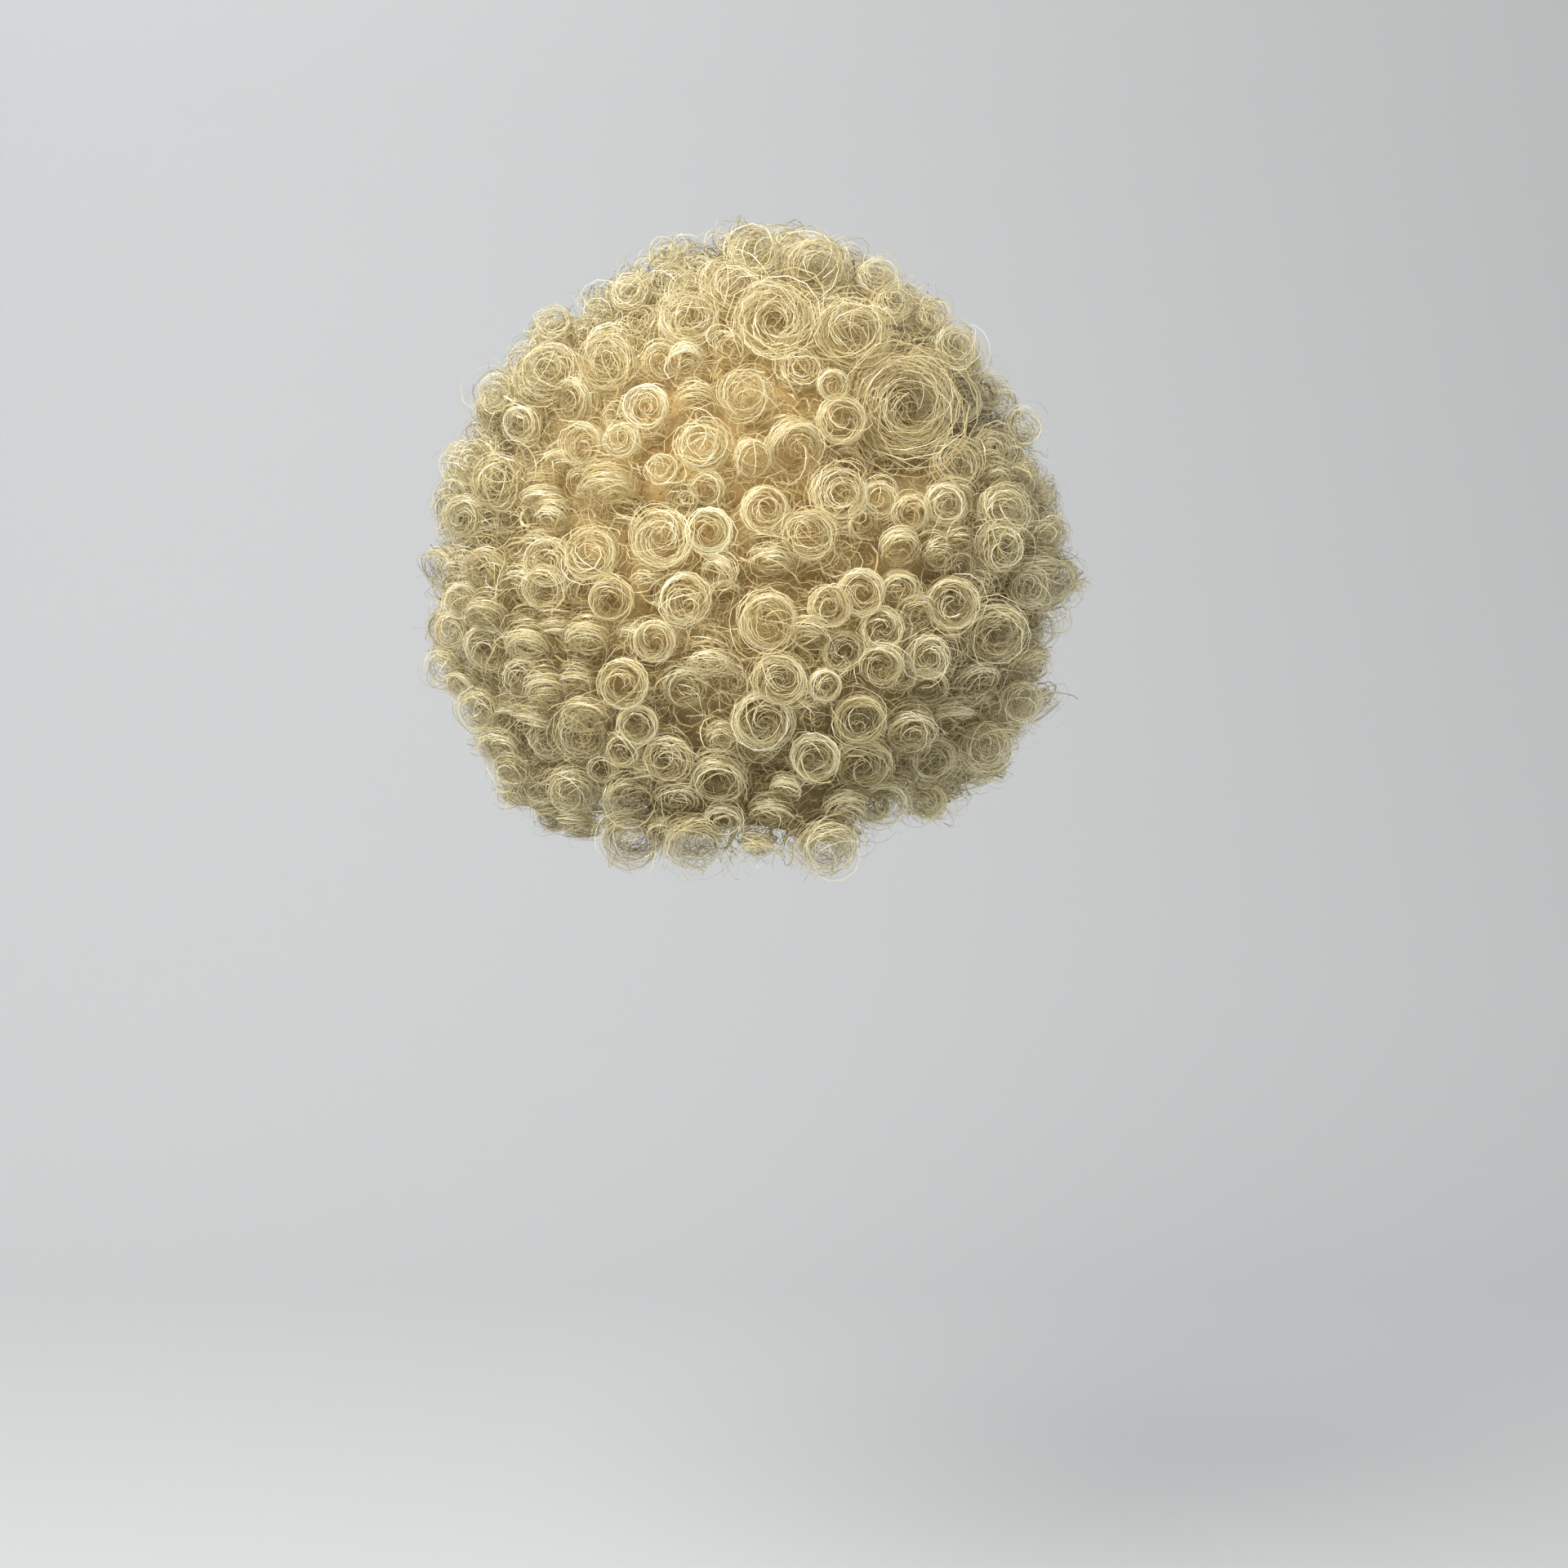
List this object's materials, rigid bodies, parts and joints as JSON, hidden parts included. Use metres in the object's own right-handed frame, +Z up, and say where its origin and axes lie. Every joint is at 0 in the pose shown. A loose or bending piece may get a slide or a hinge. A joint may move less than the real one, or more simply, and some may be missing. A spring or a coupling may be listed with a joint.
{
  "type": "afro wig",
  "caption": "Rounded afro wig of blond ringlets in sewn rows on a hollow stretch cap that is pulled over the head, with the face left open.",
  "frame": {"origin": "inside of the cap at the crown, where the head carries the wig", "axes": "+Z up out of the crown, +Y the way the wearer faces, +X to the wearer's right"},
  "size_m": [0.3454, 0.3183, 0.3435],
  "materials": {
    "cap_net": "knitted stretch net, dull",
    "hair": "fine synthetic hair in ringlets, silky"
  },
  "bodies": {
    "root": {"cap": "cap_net", "crown_tuft": "hair", "hair_row_01": "hair", "hair_row_02": "hair", "hair_row_03": "hair", "hair_row_04": "hair", "hair_row_05": "hair", "hair_row_06": "hair", "hair_row_07": "hair", "hair_row_08": "hair", "hair_row_09": "hair", "hair_row_10": "hair"}
  },
  "joints": []
}
